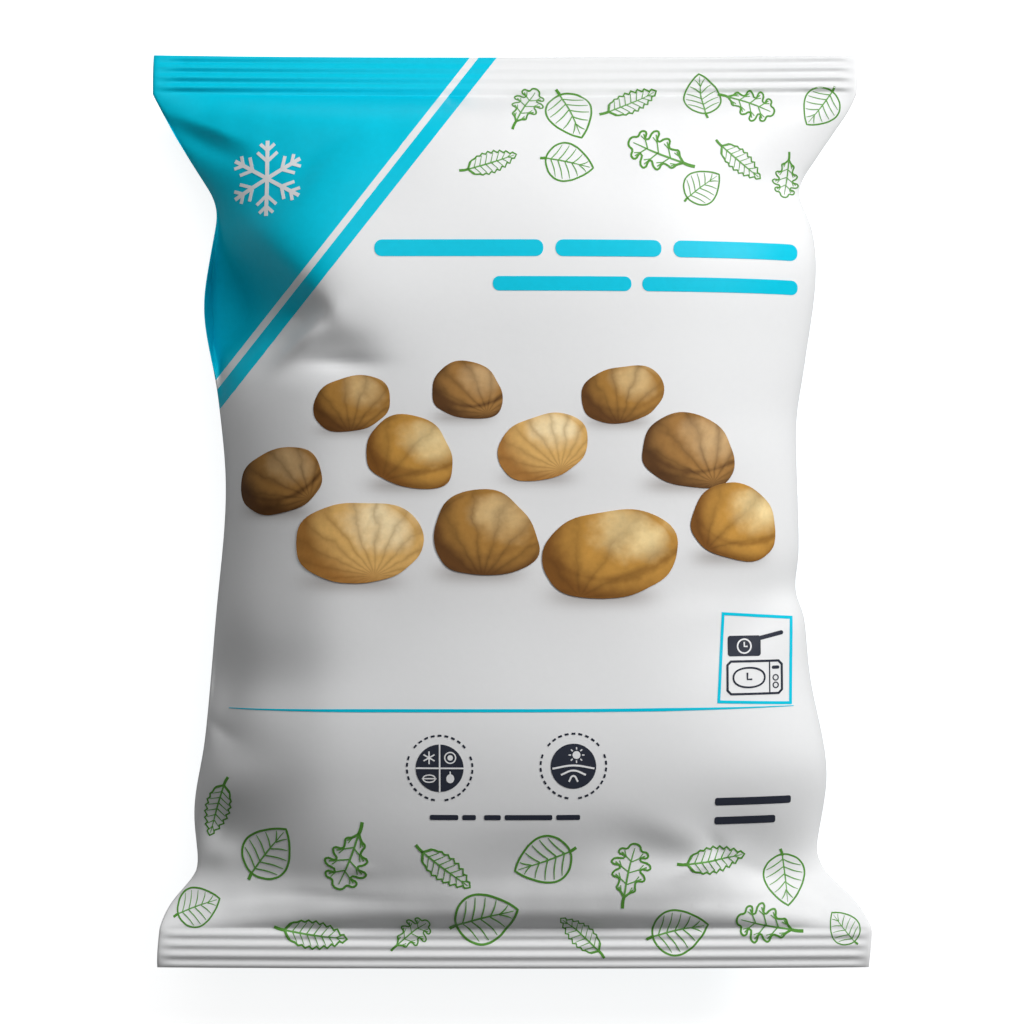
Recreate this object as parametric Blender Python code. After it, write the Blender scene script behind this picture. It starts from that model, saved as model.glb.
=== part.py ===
"""A filled pillow pack of frozen peeled chestnuts, lying on its back with its printed face up.

The real pack is one tube of white film. It is flattened and crimped shut at both ends, and closed
along the middle of its back by a fin that is folded flat. The filling rounds it, which draws its sides
in, so that the flat seals stand out past the body as four ears. Nothing of the inside shows, so the
pack is one solid. X runs across the pack, Y from its foot to its head, and Z up from the floor.
"""

import math

import bmesh
import bpy

# Driving dimensions, in metres
PACK_LENGTH = 0.310
PACK_THICKNESS = 0.068
SEAL_LENGTH = 0.014
SEAL_THICKNESS = 0.0012
FIN_THICKNESS = 0.0008

# Heights above the floor: the ends of the crimped seals and the widest line of the sides. The cut edge
# of a seal droops, and the filling lifts its middle in a shallow bow
SEAL_HEIGHT = 0.024
SEAL_DROOP = 0.004
SEAL_BOW = 0.003
SIDE_HEIGHT = 0.028

# The crimp: shallow ribs across the whole seal, which stop just short of its corners
RIB_PITCH = 0.0035
RIB_DEPTH = 0.0005
RIB_MARGIN = 0.006

# How far the filling takes to round the pack, measured from the seals
FRONT_RISE = 0.078
BACK_RISE = 0.062
ROUNDING_REACH = 0.060

# The crown of the two faces across the pack. A larger power is flatter in the middle, and the sides
# go from a sharp edge at the seals (power 1) to a round one in the body
FRONT_POWER = 2.35
BACK_POWER = 2.6
ROUND_SIDE_POWER = 0.52
BACK_DEPTH = 0.034
FLOOR_BLEND = 0.004

# The film stands off the floor beside the fin
FIN_TENT = 0.012

# The head's cut edge is drawn in by the filling, most in the middle
HEAD_PULL = 0.0015
HEAD_PULL_REACH = 0.020

# The seal's two layers close to one edge in this share of the way round from a side
EDGE_CLOSING = 0.125

# The mesh: points round the tube, an even number whose half is odd, so that the fin is one strip wide
COLUMNS = 66
STATIONS_PER_RIB = 4
BODY_STATIONS = 48

# The sides as seen from above, from foot to head: (along the pack, across it)
LEFT_SIDE = (
    (-0.1550, -0.1190),
    (-0.1427, -0.1182),
    (-0.1358, -0.1163),
    (-0.1307, -0.1128),
    (-0.1238, -0.1060),
    (-0.1039, -0.1077),
    (-0.0792, -0.1039),
    (-0.0381, -0.1002),
    (0.0065, -0.0967),
    (0.0374, -0.0993),
    (0.0683, -0.1043),
    (0.0888, -0.1015),
    (0.1019, -0.0995),
    (0.1094, -0.1036),
    (0.1231, -0.1122),
    (0.1369, -0.1197),
    (0.1410, -0.1219),
    (0.1550, -0.1220),
)
RIGHT_SIDE = (
    (-0.1550, 0.1212),
    (-0.1427, 0.1220),
    (-0.1358, 0.1194),
    (-0.1307, 0.1152),
    (-0.1238, 0.1070),
    (-0.1170, 0.1043),
    (-0.1067, 0.1060),
    (-0.0912, 0.1080),
    (-0.0552, 0.1019),
    (-0.0353, 0.1000),
    (-0.0278, 0.0967),
    (-0.0158, 0.0984),
    (0.0271, 0.0974),
    (0.0477, 0.1002),
    (0.0820, 0.1043),
    (0.0957, 0.1029),
    (0.1077, 0.0978),
    (0.1163, 0.1029),
    (0.1300, 0.1118),
    (0.1403, 0.1182),
    (0.1550, 0.1190),
)

# Soft hollows and folds of the printed face: (across, along, direction in degrees, half length,
# half width to the right of the direction, half width to its left, share of the film's rise)
FRONT_FOLDS = (
    (-0.1040, 0.1280, -34.0, 0.022, 0.010, 0.007, 0.16),
    (-0.0950, 0.0500, 24.0, 0.022, 0.006, 0.008, 0.10),
    (-0.0880, -0.0590, 10.0, 0.028, 0.010, 0.013, -0.13),
    (-0.0995, -0.0765, -20.0, 0.014, 0.005, 0.007, -0.14),
    (-0.0930, -0.1120, 48.0, 0.018, 0.009, 0.012, -0.26),
    (0.0100, -0.1200, 3.0, 0.034, 0.009, 0.012, -0.12),
    (0.0540, -0.1160, -8.0, 0.022, 0.006, 0.011, -0.17),
    (0.0620, -0.1235, 20.0, 0.014, 0.004, 0.006, 0.10),
    (0.0960, -0.1245, -30.0, 0.030, 0.007, 0.011, -0.24),
    (0.0860, 0.1060, 38.0, 0.018, 0.007, 0.012, -0.16),
    (0.0850, -0.0360, 34.0, 0.020, 0.006, 0.008, -0.10),
    (-0.0380, 0.1250, 80.0, 0.020, 0.008, 0.008, -0.05),
    (0.0300, 0.1270, 96.0, 0.018, 0.009, 0.009, -0.05),
)

# Darts, where the slack film of the left shoulder is pinched to a point and falls away in a fan:
# (tip across, tip along, first and last direction of the fan in degrees, reach, share of the rise)
FRONT_DARTS = (
    (-0.0590, 0.0665, 128.0, 212.0, 0.052, -0.46),
    (-0.0430, 0.0520, 154.0, 200.0, 0.018, -0.12),
    (-0.0400, 0.1290, 172.0, 222.0, 0.040, -0.16),
)
DART_FALL = 0.72

HALF_LENGTH = PACK_LENGTH / 2
SEAL_ROOT = HALF_LENGTH - SEAL_LENGTH
FILM_WHITE = (0.80, 0.81, 0.82, 1.0)
FILM_ROUGHNESS = 0.38


def smoothstep(share):
    """0 below 0, 1 above 1, and an even ease between."""
    share = min(max(share, 0.0), 1.0)
    return share * share * (3 - 2 * share)


def along_outline(outline, y):
    """Where a side runs at y: a smooth curve through its points, level at its bulges and necks."""
    last = len(outline) - 1
    k = 0
    while k < last - 1 and y > outline[k + 1][0]:
        k += 1
    (y0, x0), (y1, x1) = outline[k], outline[k + 1]

    def slope(j):
        if j in (0, last):
            return 0.0
        before = (outline[j][1] - outline[j - 1][1]) / (outline[j][0] - outline[j - 1][0])
        after = (outline[j + 1][1] - outline[j][1]) / (outline[j + 1][0] - outline[j][0])
        if before * after <= 0:
            return 0.0
        return 2 * before * after / (before + after)

    span = y1 - y0
    t = min(max((y - y0) / span, 0.0), 1.0)
    rise = t * t * (3 - 2 * t)
    start = t * (1 - t) ** 2 * slope(k) * span
    end = t * t * (t - 1) * slope(k + 1) * span
    return x0 + (x1 - x0) * rise + start + end


def body_stations():
    """The places along the pack where the tube has a ring of points, from foot to head."""
    rib_steps = round(SEAL_LENGTH / RIB_PITCH) * STATIONS_PER_RIB
    seal = [SEAL_ROOT + SEAL_LENGTH * (i + 0.5) / rib_steps for i in range(rib_steps)] + [HALF_LENGTH]
    body = [-SEAL_ROOT + 2 * SEAL_ROOT * i / BODY_STATIONS for i in range(BODY_STATIONS + 1)]
    return [-y for y in reversed(seal)] + body + seal


def fullness(distance, reach):
    """How far the filling has rounded the pack at this distance from a seal: a quarter of an ellipse."""
    left = 1 - min(max(distance, 0.0) / reach, 1.0)
    return math.sqrt(1 - left * left)


def resting(z):
    """The film laid on the floor: it never dips below, and leaves the floor in a smooth curve."""
    if z <= -FLOOR_BLEND:
        return 0.0
    if z >= FLOOR_BLEND:
        return z
    return (z + FLOOR_BLEND) ** 2 / (4 * FLOOR_BLEND)


def seal_line(across, y):
    """The height of the crimped seal, and of the side lines of the body between the seals."""
    distance = SEAL_ROOT - abs(y)
    filled = smoothstep(distance / ROUNDING_REACH)
    bow = SEAL_BOW * (1 - across * across) * (1 - filled)
    droop = SEAL_DROOP * (max(0.0, -distance) / SEAL_LENGTH) ** 2
    return SEAL_HEIGHT + (SIDE_HEIGHT - SEAL_HEIGHT) * filled + bow - droop


def crimp(x, y, left, right):
    """The height of the ribs. They run across the seal and fade before its corners."""
    into_seal = abs(y) - SEAL_ROOT
    if into_seal <= 0:
        return 0.0
    from_corner = min(x - left, right - x)
    return -RIB_DEPTH * math.sin(math.tau * into_seal / RIB_PITCH) * smoothstep(from_corner / RIB_MARGIN)


def folds(x, y):
    """The soft hollows of the loose film, as a share of how far it rises here."""
    share = 0.0
    for across, along, degrees, half_length, right_width, left_width, height in FRONT_FOLDS:
        turn = math.radians(degrees)
        run = (x - across) * math.cos(turn) + (y - along) * math.sin(turn)
        off = (y - along) * math.cos(turn) - (x - across) * math.sin(turn)
        half_width = left_width if off > 0 else right_width
        share += height * math.exp(-((run / half_length) ** 2) - (off / half_width) ** 2)
    return share


def darts(x, y):
    """The pinched fans: each falls slowly from its first side and climbs back steeply at its last."""
    share = 0.0
    for across, along, first, last, reach, height in FRONT_DARTS:
        turn = math.degrees(math.atan2(y - along, x - across)) % 360
        part = (turn - first) / (last - first)
        fan = smoothstep(part / DART_FALL) * smoothstep((1 - part) / (1 - DART_FALL))
        out = math.hypot(x - across, y - along) / reach
        share += height * fan * out * math.exp(1 - out)
    return share


def film_point(angle, y):
    """A point of the tube: angle 0 is its right side, the printed face is above and the back below."""
    left = along_outline(LEFT_SIDE, y)
    right = along_outline(RIGHT_SIDE, y)
    across = math.cos(angle)
    x = (left + right) / 2 + across * (right - left) / 2
    distance = SEAL_ROOT - abs(y)
    edge_power = 1 - (1 - ROUND_SIDE_POWER) * smoothstep(distance / ROUNDING_REACH)
    line = seal_line(across, y) + crimp(x, y, left, right)
    film = SEAL_THICKNESS / 2 * min(1.0, abs(math.sin(angle)) / EDGE_CLOSING)
    if math.sin(angle) > 0:
        crown = max(0.0, 1 - abs(across) ** FRONT_POWER) ** edge_power
        rise = (PACK_THICKNESS - SIDE_HEIGHT) * fullness(distance, FRONT_RISE) * crown
        z = line + film + rise * (1 + folds(x, y) + darts(x, y))
    else:
        crown = max(0.0, 1 - abs(across) ** BACK_POWER) ** edge_power
        full = fullness(distance, BACK_RISE)
        z = line - film - BACK_DEPTH * full * crown
        beside_fin = (abs(x) - FIN_TENT / 2) / FIN_TENT
        tent = FIN_THICKNESS * (1 - smoothstep(beside_fin)) * smoothstep(distance / FIN_TENT)
        z = resting(z) + tent
    near_head = smoothstep((y - SEAL_ROOT) / HEAD_PULL_REACH + 1)
    pull = HEAD_PULL * (1 - across * across) * near_head
    return x, y - pull, z


def film_material():
    """Matt white polyethylene film with a soft shine."""
    material = bpy.data.materials.new("white_film")
    material.use_nodes = True
    surface = material.node_tree.nodes["Principled BSDF"]
    surface.inputs["Base Color"].default_value = FILM_WHITE
    surface.inputs["Roughness"].default_value = FILM_ROUGHNESS
    surface.inputs["Metallic"].default_value = 0.0
    return material


def make_tube(bm, stations):
    """A closed tube with one ring of points at each station, still a plain cylinder on its axis."""
    bmesh.ops.create_cone(
        bm, cap_ends=True, segments=COLUMNS, radius1=1.0, radius2=1.0, depth=len(stations) - 1
    )
    long_edges = [e for e in bm.edges if abs(e.verts[0].co.z - e.verts[1].co.z) > 0.5]
    bmesh.ops.subdivide_edges(bm, edges=long_edges, cuts=len(stations) - 2)


def angle_round(point, start):
    """How far round the plain tube a point is, from the start angle."""
    return (math.atan2(point.y, point.x) - start) % math.tau


def shape_film(bm, stations):
    """Moves each point of the tube to its place on the filled pack. Returns the strip under the fin."""
    lowest = min(v.co.z for v in bm.verts)
    start = min(math.atan2(v.co.y, v.co.x) % math.tau for v in bm.verts)
    half_column = math.pi / COLUMNS
    strip = [
        f
        for f in bm.faces
        if len(f.verts) == 4
        and abs(angle_round(f.calc_center_median(), start) - 1.5 * math.pi) < half_column
    ]
    for vert in bm.verts:
        vert.co = film_point(angle_round(vert.co, start), stations[round(vert.co.z - lowest)])
    return strip


def raise_fin(bm, strip):
    """The middle strip of the back stands out as the fin of the long seal, folded flat."""
    made = bmesh.ops.extrude_face_region(bm, geom=strip)
    bmesh.ops.delete(bm, geom=strip, context="FACES_ONLY")
    lifted = [g for g in made["geom"] if isinstance(g, bmesh.types.BMVert)]
    bmesh.ops.translate(bm, verts=lifted, vec=(0, 0, -FIN_THICKNESS))


def build_pack(collection):
    stations = body_stations()
    bm = bmesh.new()
    make_tube(bm, stations)
    strip = shape_film(bm, stations)
    raise_fin(bm, strip)
    bmesh.ops.recalc_face_normals(bm, faces=bm.faces)
    mesh = bpy.data.meshes.new("pillow_pack")
    bm.to_mesh(mesh)
    bm.free()
    mesh.materials.append(film_material())
    mesh.shade_smooth()
    pack = bpy.data.objects.new("pillow_pack", mesh)
    collection.objects.link(pack)


def main():
    for obj in list(bpy.data.objects):
        bpy.data.objects.remove(obj)
    collection = bpy.data.collections.new("chestnut_pack")
    bpy.context.scene.collection.children.link(collection)
    build_pack(collection)


main()
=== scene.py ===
import math

import bpy
from mathutils import Matrix, Vector, noise


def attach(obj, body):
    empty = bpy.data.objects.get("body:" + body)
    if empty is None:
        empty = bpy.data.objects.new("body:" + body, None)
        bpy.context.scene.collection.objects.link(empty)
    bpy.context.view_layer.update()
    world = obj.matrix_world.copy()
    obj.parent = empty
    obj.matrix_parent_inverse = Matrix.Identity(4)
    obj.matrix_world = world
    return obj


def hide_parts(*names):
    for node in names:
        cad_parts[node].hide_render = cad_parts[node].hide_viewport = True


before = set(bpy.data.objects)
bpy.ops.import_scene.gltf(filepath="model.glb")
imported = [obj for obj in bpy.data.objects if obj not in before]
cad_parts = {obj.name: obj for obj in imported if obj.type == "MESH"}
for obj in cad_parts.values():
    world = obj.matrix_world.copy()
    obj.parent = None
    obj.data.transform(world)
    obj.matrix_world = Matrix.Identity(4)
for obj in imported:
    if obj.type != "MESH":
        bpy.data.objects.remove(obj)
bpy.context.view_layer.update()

# The film tube
# White polyethylene film, filled, crimped flat at head and foot and closed by a fin along the back.
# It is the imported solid's own form, rounded off, with the finer creases that loose film takes.
SEAL_ROOT = 0.141
SAME_POINT = 0.00001
CREASE_ANGLE = math.radians(50)
QUAD_BEND = math.radians(60)
QUAD_SKEW = math.radians(70)
RIB_PITCH = 0.0035
RIB_BITE = 0.00025
RIB_END = 0.117
RIB_FADE = 0.006
PUCKER_START = 0.006
PUCKER_REACH = 0.030
PUCKER_HEIGHT = 0.0007
PUCKER_WIDTH = 0.011
PUCKER_LENGTH = 0.060
PUCKER_PATTERN = 4.0
SLACK_MARGIN = 0.03
SLACK_SIZE = 0.045
SLACK_HEIGHT = 0.0008
SLACK_PATTERN = 1.7
FRONT_FACING = 0.1
FRONT_FADE = 0.4

# How the foot stands higher than the droop of the solid: (start, length, rise)
FOOT_LIFTS = (
    (0.090, 0.050, 0.0035),
    (0.122, 0.020, 0.0048),
    (0.131, 0.012, 0.0064),
    (0.142, 0.013, 0.0026),
)

# Creases and dents: (across, along, direction in degrees, half length, half width, height)
FILM_CREASES = (
    (0.0640, -0.1195, 20.0, 0.0080, 0.0016, 0.0015),
    (0.0700, -0.1150, -58.0, 0.0070, 0.0026, -0.0022),
    (0.0860, -0.1240, -27.0, 0.0140, 0.0030, -0.0016),
    (-0.0520, -0.1200, -8.0, 0.0060, 0.0014, 0.0007),
    (-0.0975, -0.0745, -28.0, 0.0060, 0.0022, -0.0016),
    (-0.0860, -0.1330, 4.0, 0.0160, 0.0018, 0.0008),
    (-0.0620, -0.1300, -3.0, 0.0200, 0.0016, -0.0007),
    (0.0980, -0.1305, -27.0, 0.0150, 0.0018, 0.0009),
    (-0.1030, 0.1290, -21.0, 0.0130, 0.0017, 0.0013),
    (-0.1030, 0.1240, -28.0, 0.0140, 0.0045, -0.0034),
    (-0.0672, 0.0568, 39.0, 0.0100, 0.0026, 0.0030),
    (-0.0560, 0.0478, -2.0, 0.0110, 0.0030, -0.0040),
    (0.0590, -0.1100, -20.0, 0.0170, 0.0080, 0.0030),
    (-0.0620, 0.0820, -46.0, 0.0320, 0.0220, 0.0035),
    (-0.0945, 0.0790, 98.0, 0.0210, 0.0110, -0.0050),
    (-0.0960, -0.0570, 86.0, 0.0160, 0.0080, -0.0060),
    (-0.0965, -0.1070, 62.0, 0.0085, 0.0055, -0.0050),
    (-0.0975, -0.1165, 15.0, 0.0060, 0.0045, 0.0016),
    (-0.0620, -0.0150, 90.0, 0.0900, 0.0170, 0.0026),
)

# Folds, beyond whose line the film bends down, or up where the slope is negative:
# (across, along, direction in degrees, half length, reach, softness, slope)
FILM_FOLDS = (
    (-0.0760, 0.0830, -46.0, 0.0230, 0.0360, 0.0025, 0.86),
    (-0.0620, 0.0690, -46.0, 0.0060, 0.0170, 0.0006, 1.00),
    (-0.0612, 0.0622, -46.0, 0.0034, 0.0150, 0.0010, -0.42),
)


def ease(share):
    share = min(max(share, 0.0), 1.0)
    return share * share * (3 - 2 * share)


def crease_height(x, y):
    height = 0.0
    for across, along, degrees, half_length, half_width, rise in FILM_CREASES:
        turn = math.radians(degrees)
        run = (x - across) * math.cos(turn) + (y - along) * math.sin(turn)
        off = (y - along) * math.cos(turn) - (x - across) * math.sin(turn)
        height += rise * math.exp(-((run / half_length) ** 2)) / (1 + (off / half_width) ** 2)
    return height


def fold_height(x, y):
    height = 0.0
    for across, along, degrees, half_length, reach, softness, slope in FILM_FOLDS:
        turn = math.radians(degrees)
        run = (x - across) * math.cos(turn) + (y - along) * math.sin(turn)
        off = (y - along) * math.cos(turn) - (x - across) * math.sin(turn)
        beyond = (math.hypot(off, softness) - off) / 2
        height -= slope * beyond * math.exp(-((run / half_length) ** 2) - (off / reach) ** 2)
    return height


def pucker_height(x, y):
    """The gathers that run from a crimped seal into the rounded film and die out in a few centimetres."""
    into_body = SEAL_ROOT - abs(y)
    if into_body <= 0:
        return 0.0
    near_seal = ease(into_body / PUCKER_START) * (1 - ease(into_body / PUCKER_REACH))
    spot = Vector((x / PUCKER_WIDTH, y / PUCKER_LENGTH, math.copysign(PUCKER_PATTERN, y)))
    return PUCKER_HEIGHT * near_seal * noise.noise(spot)


def slack_height(x, y):
    inside = ease((SEAL_ROOT - abs(y)) / SLACK_MARGIN)
    return SLACK_HEIGHT * inside * noise.noise(Vector((x / SLACK_SIZE, y / SLACK_SIZE, SLACK_PATTERN)))


def crimp_bite(x, y):
    """The jaws bite the ribs of the head seal a little deeper than the solid has them."""
    into_seal = y - SEAL_ROOT
    if into_seal <= 0 or abs(x) > RIB_END:
        return 0.0
    return -RIB_BITE * math.sin(math.tau * into_seal / RIB_PITCH) * ease((RIB_END - abs(x)) / RIB_FADE)


def foot_lift(y):
    """The slope to the foot is gentler than the solid's, and the seal's edge stands up and catches light."""
    return sum(rise * ease((-y - start) / length) for start, length, rise in FOOT_LIFTS)


def work_on(piece):
    """Makes one piece the selected and active one, so that the operators act on it alone."""
    bpy.ops.object.select_all(action="DESELECT")
    bpy.context.view_layer.objects.active = piece
    piece.select_set(True)


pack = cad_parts["pillow_pack"]
film = bpy.data.objects.new("film", pack.data.copy())
bpy.context.collection.objects.link(film)
work_on(film)
bpy.ops.object.mode_set(mode="EDIT")
bpy.ops.mesh.select_all(action="SELECT")
bpy.ops.mesh.remove_doubles(threshold=SAME_POINT)
bpy.ops.mesh.tris_convert_to_quads(face_threshold=QUAD_BEND, shape_threshold=QUAD_SKEW)
bpy.ops.mesh.select_all(action="DESELECT")
bpy.ops.mesh.select_mode(type="EDGE")
bpy.ops.mesh.edges_select_sharp(sharpness=CREASE_ANGLE)
bpy.ops.transform.edge_crease(value=1.0)
bpy.ops.object.mode_set(mode="OBJECT")
rounding = film.modifiers.new("rounding", "SUBSURF")
rounding.levels = 2
rounding.render_levels = 2
bpy.ops.object.modifier_apply(modifier=rounding.name)
facing_up = [vert.normal.z for vert in film.data.vertices]
places = [vert.co.copy() for vert in film.data.vertices]
for place, up in zip(places, facing_up):
    x, y = place.x, place.y
    loose = crease_height(x, y) + fold_height(x, y) + pucker_height(x, y) + slack_height(x, y)
    place.z += ease((up - FRONT_FACING) / FRONT_FADE) * loose
    place.z += foot_lift(y) + crimp_bite(x, y)
film.data.vertices.foreach_set("co", [c for place in places for c in place])
film.data.update()
bpy.ops.object.shade_smooth()

# The camera's place, which the corner's stripes need as well: seen from it, their edges are straight.
SEAL_HEIGHT = 0.022
CAMERA_DISTANCE = 1.167
VIEW_CENTRE = (0.0007, -0.0014)
camera_place = Vector((VIEW_CENTRE[0], VIEW_CENTRE[1], SEAL_HEIGHT + CAMERA_DISTANCE))

# The film's colour fields
# The tube is printed cyan all over its back and in the front's upper left corner, behind a slanting
# edge with one thin stripe beside it. The edges are cut into the film, so that each field is its own faces.
STRIPE_SLOPE = 1.27
STRIPE_TOP = 0.1532
CORNER_EDGE = -0.0143
STRIPE_INNER_EDGE = -0.0113
STRIPE_OUTER_EDGE = -0.0051
CORNER_FACING, CORNER_LOWEST, CORNER_RIGHTMOST = -0.2, 0.02, 0.01
BACK_COLOUR_STARTS = -0.04
FILM_SPECULAR = 0.11
FILM_SHEEN = 0.36
FILM_WRINKLE = 0.22
WHITE_FIELD, CYAN_FIELD = 0, 1


def stripe_plane(edge):
    """The normal of the plane through the camera and one slanting edge; it points away from the corner."""
    top = Vector((edge, STRIPE_TOP, SEAL_HEIGHT)) - camera_place
    low = Vector((edge - STRIPE_TOP / STRIPE_SLOPE, 0.0, SEAL_HEIGHT)) - camera_place
    return low.cross(top).normalized()


def pick_faces(piece, wanted):
    """Enters edit mode with only those faces selected that the rule wants."""
    work_on(piece)
    bpy.ops.object.mode_set(mode="EDIT")
    bpy.ops.mesh.select_mode(type="FACE")
    bpy.ops.mesh.select_all(action="DESELECT")
    bpy.ops.object.mode_set(mode="OBJECT")
    for face in piece.data.polygons:
        face.select = wanted(face)
    bpy.ops.object.mode_set(mode="EDIT")


def near_corner(face):
    in_reach = face.center.y > CORNER_LOWEST and face.center.x < CORNER_RIGHTMOST
    return in_reach and face.normal.z > CORNER_FACING


edge_planes = [stripe_plane(edge) for edge in (CORNER_EDGE, STRIPE_INNER_EDGE, STRIPE_OUTER_EDGE)]
for edge_plane in edge_planes:
    pick_faces(film, near_corner)
    bpy.ops.mesh.bisect(plane_co=camera_place, plane_no=edge_plane)
    bpy.ops.object.mode_set(mode="OBJECT")


def add_node(tree, kind, **settings):
    """A shader node with its settings, and its sockets' values by name or number under the word values."""
    node = tree.nodes.new(kind)
    for socket, value in settings.pop("values", {}).items():
        node.inputs[socket].default_value = value
    for setting, value in settings.items():
        setattr(node, setting, value)
    return node


def make_film_grain():
    """What printed film shows close up: fine wrinkles, a sheen that varies with them, and uneven ink."""
    grain = bpy.data.node_groups.new("film_grain", "ShaderNodeTree")
    face = grain.interface
    face.new_socket("Sheen", in_out="INPUT", socket_type="NodeSocketFloat").default_value = 0.4
    face.new_socket("Wrinkle", in_out="INPUT", socket_type="NodeSocketFloat").default_value = 0.3
    face.new_socket("Unevenness", in_out="INPUT", socket_type="NodeSocketFloat").default_value = 0.05
    face.new_socket("Roughness", in_out="OUTPUT", socket_type="NodeSocketFloat")
    face.new_socket("Density", in_out="OUTPUT", socket_type="NodeSocketFloat")
    face.new_socket("Normal", in_out="OUTPUT", socket_type="NodeSocketVector")
    values = add_node(grain, "NodeGroupInput")
    result = add_node(grain, "NodeGroupOutput")
    place = add_node(grain, "ShaderNodeTexCoord")
    fine = add_node(grain, "ShaderNodeTexNoise", values={"Scale": 420.0, "Detail": 4.0, "Roughness": 0.6})
    broad = add_node(grain, "ShaderNodeTexNoise", values={"Scale": 55.0, "Detail": 3.0, "Roughness": 0.5})
    grain.links.new(place.outputs["Object"], fine.inputs["Vector"])
    grain.links.new(place.outputs["Object"], broad.inputs["Vector"])
    both = add_node(grain, "ShaderNodeMath", operation="MULTIPLY_ADD", values={1: 0.35})
    grain.links.new(fine.outputs["Fac"], both.inputs[0])
    grain.links.new(broad.outputs["Fac"], both.inputs[2])
    bump = add_node(grain, "ShaderNodeBump", values={"Distance": 0.0004})
    grain.links.new(values.outputs["Wrinkle"], bump.inputs["Strength"])
    grain.links.new(both.outputs["Value"], bump.inputs["Height"])
    grain.links.new(bump.outputs["Normal"], result.inputs["Normal"])
    sheen = add_node(grain, "ShaderNodeMath", operation="MULTIPLY_ADD", values={1: 0.16})
    grain.links.new(broad.outputs["Fac"], sheen.inputs[0])
    grain.links.new(values.outputs["Sheen"], sheen.inputs[2])
    grain.links.new(sheen.outputs["Value"], result.inputs["Roughness"])
    centred = add_node(grain, "ShaderNodeMath", operation="SUBTRACT", values={1: 0.5})
    grain.links.new(fine.outputs["Fac"], centred.inputs[0])
    density = add_node(grain, "ShaderNodeMath", operation="MULTIPLY_ADD", values={2: 1.0})
    grain.links.new(centred.outputs["Value"], density.inputs[0])
    grain.links.new(values.outputs["Unevenness"], density.inputs[1])
    grain.links.new(density.outputs["Value"], result.inputs["Density"])
    return grain


film_grain = make_film_grain()


def film_finish(name, sheen, wrinkle, unevenness):
    """A new film or ink material: its tree, its shader and its film grain, with no colour as yet."""
    finish = bpy.data.materials.new(name)
    finish.use_nodes = True
    tree = finish.node_tree
    shader = tree.nodes["Principled BSDF"]
    shader.inputs["Specular IOR Level"].default_value = FILM_SPECULAR
    grain = add_node(tree, "ShaderNodeGroup", node_tree=film_grain)
    grain.inputs["Sheen"].default_value = sheen
    grain.inputs["Wrinkle"].default_value = wrinkle
    grain.inputs["Unevenness"].default_value = unevenness
    tree.links.new(grain.outputs["Roughness"], shader.inputs["Roughness"])
    tree.links.new(grain.outputs["Normal"], shader.inputs["Normal"])
    return finish, tree, shader, grain


def ink_finish(name, colour, unevenness=0.12):
    """One solid printing ink, a little thicker and thinner from place to place."""
    finish, tree, shader, grain = film_finish(name, FILM_SHEEN, FILM_WRINKLE, unevenness)
    tint = add_node(tree, "ShaderNodeVectorMath", operation="SCALE", values={0: colour})
    tree.links.new(grain.outputs["Density"], tint.inputs["Scale"])
    tree.links.new(tint.outputs["Vector"], shader.inputs["Base Color"])
    return finish


# The picture's nuts: (across, along, width, height, direction in degrees, bulge, kind, layer)
GOLDEN, TAWNY, CREAM, UMBER = range(4)
NUT_PLACES = (
    (-0.0520, 0.0335, 0.0250, 0.0205, 8.0, 0.05, UMBER, 0),
    (-0.0140, 0.0375, 0.0240, 0.0200, -5.0, -0.06, TAWNY, 0),
    (0.0370, 0.0365, 0.0260, 0.0215, 4.0, 0.08, UMBER, 0),
    (-0.0760, 0.0080, 0.0280, 0.0240, 14.0, 0.04, TAWNY, 1),
    (-0.0330, 0.0170, 0.0300, 0.0250, -10.0, -0.07, GOLDEN, 1),
    (0.0110, 0.0190, 0.0290, 0.0240, 12.0, 0.06, CREAM, 1),
    (0.0590, 0.0175, 0.0320, 0.0260, -8.0, -0.05, TAWNY, 1),
    (-0.0500, -0.0125, 0.0400, 0.0310, -4.0, 0.08, CREAM, 2),
    (-0.0080, -0.0100, 0.0350, 0.0300, 6.0, -0.08, UMBER, 2),
    (0.0330, -0.0165, 0.0430, 0.0330, 3.0, 0.06, GOLDEN, 2),
    (0.0745, -0.0060, 0.0300, 0.0270, -14.0, -0.04, GOLDEN, 2),
)
PICTURE_ABOVE = 0.03
NUT_FOOT = 0.38
SHADOW_SHIFT = 0.06
CONTACT_SHADE, CONTACT_WIDTH, CONTACT_DEPTH = 0.80, 0.40, 0.11
GROUND_SHADE, GROUND_WIDTH, GROUND_DEPTH = 0.16, 0.75, 0.45
WHITE_FILM = (0.755, 0.76, 0.765, 1.0)
SHADOW_TINT = (0.40, 0.38, 0.37, 1.0)
CYAN_FILM = (0.0, 0.505, 0.68)


def print_shade(x, y):
    """How dark the picture's ground is: a tight shadow at each nut's foot and a soft one round it."""
    shade = 0.0
    for across, along, width, height, *rest in NUT_PLACES:
        off = (x - across + SHADOW_SHIFT * width) / width
        up = y - (along - NUT_FOOT * height)
        contact = (off / CONTACT_WIDTH) ** 4
        ground = (off / GROUND_WIDTH) ** 2
        shade += CONTACT_SHADE * math.exp(-contact - (up / (CONTACT_DEPTH * height)) ** 2)
        shade += GROUND_SHADE * math.exp(-ground - (up / (GROUND_DEPTH * height)) ** 2)
    return min(shade, 1.0)


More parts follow.
